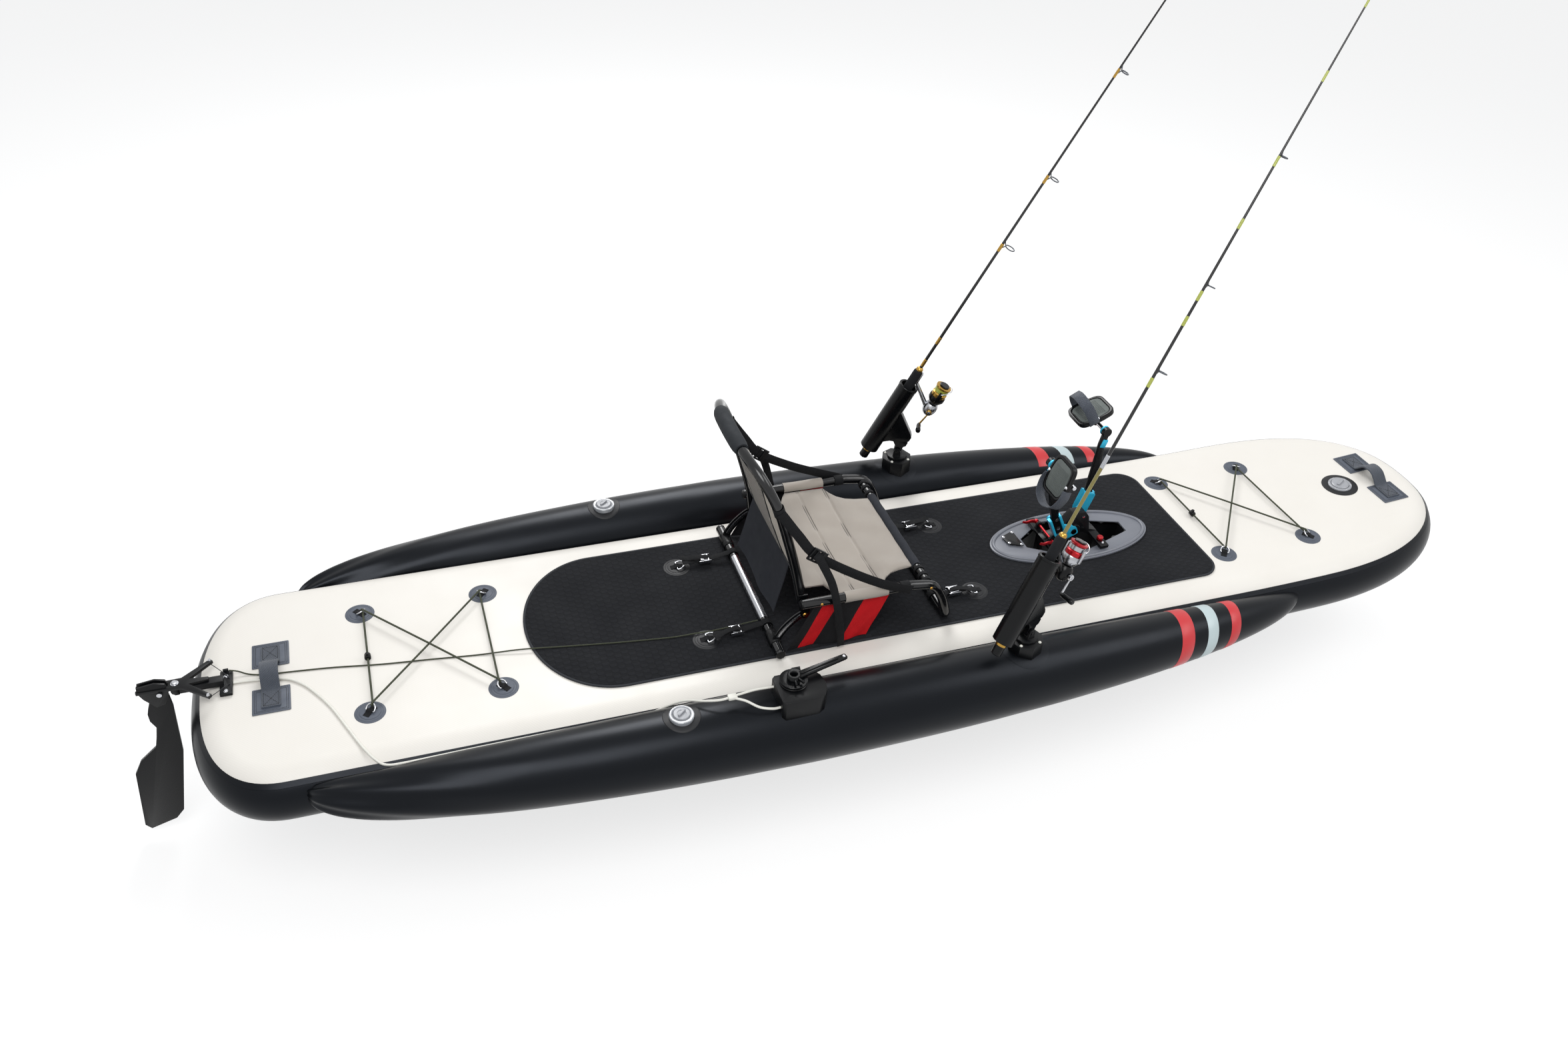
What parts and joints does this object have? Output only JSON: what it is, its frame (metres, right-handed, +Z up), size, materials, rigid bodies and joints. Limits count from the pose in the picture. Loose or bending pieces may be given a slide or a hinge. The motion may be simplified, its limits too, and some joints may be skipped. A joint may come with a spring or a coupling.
{
  "type": "inflatable pedal paddleboard",
  "caption": "Inflatable pedal paddleboard with tapered side pontoons, frame seat with folding back, fin drive, steered rudder, bungee cords and rods in holders.",
  "frame": {"origin": "centre of the hull's flat bottom, midway between the rails", "axes": "+X towards the bow, +Y to port, +Z up from the bottom face"},
  "size_m": [3.7117, 1.0572, 2.2651],
  "materials": {
    "hull_pvc": "satin black coated fabric",
    "deck_pvc": "satin off-white coated fabric",
    "eva_foam": "matte charcoal foam with a fine embossed pattern",
    "grey_plastic": "satin grey moulded plastic",
    "black_plastic": "satin black moulded plastic",
    "patch_rubber": "matte slate grey patch",
    "webbing": "black woven webbing and cord",
    "bungee": "black and olive braided elastic cord with chrome rings",
    "steel": "polished",
    "valve_grey": "grey moulded plastic",
    "sheath_white": "white plastic sheath",
    "frame_black": "gloss black tube",
    "sling_taupe": "padded taupe cloth",
    "panel_black": "black cloth with red diagonal stripes",
    "foam_grey": "dark grey cloth and foam",
    "crank_blue": "anodised blue with a black arm",
    "latch_red": "anodised red",
    "pedal_black": "black plastic with a grey tread",
    "rod_graphite": "dark rod blank with a foam grip",
    "reel_metal": "silver and gold metal"
  },
  "bodies": {
    "root": {"hull": "hull_pvc", "deck_sheet": "deck_pvc", "deck_pad": "eva_foam", "well_sleeve": "grey_plastic", "deck_valve": "patch_rubber", "bow_handle": "patch_rubber", "stern_handle": "patch_rubber", "bow_bungee": "bungee", "stern_bungee": "bungee", "pontoon_port": "hull_pvc", "pontoon_starboard": "hull_pvc", "rudder_bracket": "black_plastic", "steering_sheaths": "sheath_white", "lift_line": "webbing", "control_base": "black_plastic", "seat_rails": "frame_black", "seat_rear_legs": "frame_black", "seat_sling": "sling_taupe", "side_panel_port": "panel_black", "side_panel_starboard": "panel_black", "back_strap_port": "webbing", "back_strap_starboard": "webbing", "drive_spine": "black_plastic", "tie_strap_front_port": "webbing", "cam_buckle_front_port": "steel", "tie_strap_front_starboard": "webbing", "cam_buckle_front_starboard": "steel", "tie_strap_rear_port": "webbing", "cam_buckle_rear_port": "steel", "tie_strap_rear_starboard": "webbing", "cam_buckle_rear_starboard": "steel", "rod_base_port": "black_plastic", "rod_base_starboard": "black_plastic"},
    "valve_cap_body": {"deck_valve_cap": "valve_grey"},
    "pontoon_cap_port_body": {"pontoon_cap_port": "steel"},
    "pontoon_cap_starboard_body": {"pontoon_cap_starboard": "steel"},
    "rudder_head_body": {"rudder_head": "black_plastic"},
    "rudder_blade_body": {"rudder_blade": "black_plastic"},
    "control_lever_body": {"control_lever": "black_plastic"},
    "seat_back": {"back_frame": "frame_black", "back_panel": "sling_taupe", "back_grip": "foam_grey", "back_flap": "foam_grey"},
    "crank_port_body": {"crank_port": "crank_blue"},
    "crank_starboard_body": {"crank_starboard": "crank_blue"},
    "pedal_port_body": {"pedal_port": "pedal_black"},
    "pedal_starboard_body": {"pedal_starboard": "pedal_black"},
    "fin_front_body": {"fin_front": "black_plastic"},
    "fin_rear_body": {"fin_rear": "black_plastic"},
    "latch_body": {"drive_latch": "latch_red"},
    "holder_swivel_port": {"rod_swivel_port": "black_plastic"},
    "holder_tube_port": {"rod_tube_port": "black_plastic"},
    "rod_port_body": {"rod_port": "rod_graphite"},
    "rotor_port_body": {"reel_rotor_port": "reel_metal"},
    "reel_crank_port_body": {"reel_crank_port": "reel_metal"},
    "holder_swivel_starboard": {"rod_swivel_starboard": "black_plastic"},
    "holder_tube_starboard": {"rod_tube_starboard": "black_plastic"},
    "rod_starboard_body": {"rod_starboard": "rod_graphite"},
    "rotor_starboard_body": {"reel_rotor_starboard": "reel_metal"},
    "reel_crank_starboard_body": {"reel_crank_starboard": "reel_metal"}
  },
  "joints": [
    {"name": "valve_cap_turn", "type": "hinge", "parent": "root", "child": "valve_cap_body", "pos_m": [1.509, 0, 0.1743], "axis": [-0.0747, 0, 0.9972], "range_deg": [0, 90]},
    {"name": "pontoon_cap_port_turn", "type": "hinge", "parent": "root", "child": "pontoon_cap_port_body", "pos_m": [-0.686, 0.425, 0.2], "axis": [0, 0, 1], "range_deg": [0, 90]},
    {"name": "pontoon_cap_starboard_turn", "type": "hinge", "parent": "root", "child": "pontoon_cap_starboard_body", "pos_m": [-0.686, -0.425, 0.2], "axis": [0, 0, 1], "range_deg": [0, 90]},
    {"name": "rudder_steer", "type": "hinge", "parent": "root", "child": "rudder_head_body", "pos_m": [-1.785, 0, 0.18], "axis": [0, 0, 1], "range_deg": [-35, 35]},
    {"name": "rudder_kick_up", "type": "hinge", "parent": "rudder_head_body", "child": "rudder_blade_body", "pos_m": [-1.82, 0, 0.17], "axis": [0, 1, 0], "range_deg": [0, 100]},
    {"name": "steering_lever", "type": "hinge", "parent": "root", "child": "control_lever_body", "pos_m": [-0.415, -0.425, 0.24], "axis": [0, 0, 1], "range_deg": [-60, 60]},
    {"name": "back_fold", "type": "hinge", "parent": "root", "child": "seat_back", "pos_m": [-0.318, 0, 0.255], "axis": [0, 1, 0], "range_deg": [0, 55]},
    {"name": "crank_starboard_swing", "type": "hinge", "parent": "root", "child": "crank_starboard_body", "pos_m": [0.56, 0, 0.2], "axis": [0, 1, 0], "range_deg": [0, 42]},
    {"name": "crank_port_swing", "type": "hinge", "parent": "root", "child": "crank_port_body", "pos_m": [0.56, 0, 0.2], "axis": [0, 1, 0], "range_deg": [-42, 0]},
    {"name": "pedal_port_tilt", "type": "hinge", "parent": "crank_port_body", "child": "pedal_port_body", "pos_m": [0.63993, 0.117, 0.47877], "axis": [0, 1, 0], "range_deg": [-60, 60]},
    {"name": "pedal_starboard_tilt", "type": "hinge", "parent": "crank_starboard_body", "child": "pedal_starboard_body", "pos_m": [0.43287, -0.117, 0.46065], "axis": [0, 1, 0], "range_deg": [-60, 60]},
    {"name": "fin_front_sweep", "type": "hinge", "parent": "root", "child": "fin_front_body", "pos_m": [0.612, 0, -0.034], "axis": [1, 0, 0], "range_deg": [-168, 0]},
    {"name": "fin_rear_sweep", "type": "hinge", "parent": "root", "child": "fin_rear_body", "pos_m": [0.518, 0, -0.034], "axis": [1, 0, 0], "range_deg": [0, 168]},
    {"name": "drive_latch_lift", "type": "hinge", "parent": "root", "child": "latch_body", "pos_m": [0.4875, 0, 0.19], "axis": [0, 1, 0], "range_deg": [0, 60]},
    {"name": "holder_turn_port", "type": "hinge", "parent": "root", "child": "holder_swivel_port", "pos_m": [0.203, 0.419, 0.222], "axis": [0, 0, 1], "continuous": true},
    {"name": "holder_tilt_port", "type": "hinge", "parent": "holder_swivel_port", "child": "holder_tube_port", "pos_m": [0.203, 0.419, 0.248], "axis": [0.4695, 0.8829, 0], "range_deg": [0, 41]},
    {"name": "rod_lift_port", "type": "slide", "parent": "holder_tube_port", "child": "rod_port_body", "axis": [0.345, -0.1834, 0.9205], "range_m": [0, 0.28]},
    {"name": "rotor_turn_port", "type": "hinge", "parent": "rod_port_body", "child": "rotor_port_body", "pos_m": [0.27053, 0.38309, 0.4013], "axis": [0.345, -0.1834, 0.9205], "continuous": true},
    {"name": "reel_crank_turn_port", "type": "hinge", "parent": "rod_port_body", "child": "reel_crank_port_body", "pos_m": [0.25926, 0.3619, 0.4013], "axis": [-0.4695, -0.8829, 0], "continuous": true},
    {"name": "holder_turn_starboard", "type": "hinge", "parent": "root", "child": "holder_swivel_starboard", "pos_m": [0.203, -0.419, 0.222], "axis": [0, 0, 1], "continuous": true},
    {"name": "holder_tilt_starboard", "type": "hinge", "parent": "holder_swivel_starboard", "child": "holder_tube_starboard", "pos_m": [0.203, -0.419, 0.248], "axis": [-0.2924, 0.9563, 0], "range_deg": [0, 37]},
    {"name": "rod_lift_starboard", "type": "slide", "parent": "holder_tube_starboard", "child": "rod_starboard_body", "axis": [0.4341, 0.1327, 0.891], "range_m": [0, 0.28]},
    {"name": "rotor_turn_starboard", "type": "hinge", "parent": "rod_starboard_body", "child": "rotor_starboard_body", "pos_m": [0.28619, -0.39357, 0.3956], "axis": [0.4341, 0.1327, 0.891], "continuous": true},
    {"name": "reel_crank_turn_starboard", "type": "hinge", "parent": "rod_starboard_body", "child": "reel_crank_starboard_body", "pos_m": [0.2932, -0.41652, 0.3956], "axis": [0.2924, -0.9563, 0], "continuous": true}
  ],
  "couplings": [
    {"joint": "steering_lever", "follows": "rudder_steer", "ratio": 1.7},
    {"joint": "crank_port_swing", "follows": "crank_starboard_swing", "ratio": -1},
    {"joint": "fin_front_sweep", "follows": "crank_starboard_swing", "ratio": -4},
    {"joint": "fin_rear_sweep", "follows": "crank_starboard_swing", "ratio": 4},
    {"joint": "reel_crank_turn_port", "follows": "rotor_turn_port", "ratio": 0.1923},
    {"joint": "reel_crank_turn_starboard", "follows": "rotor_turn_starboard", "ratio": 0.1923}
  ]
}
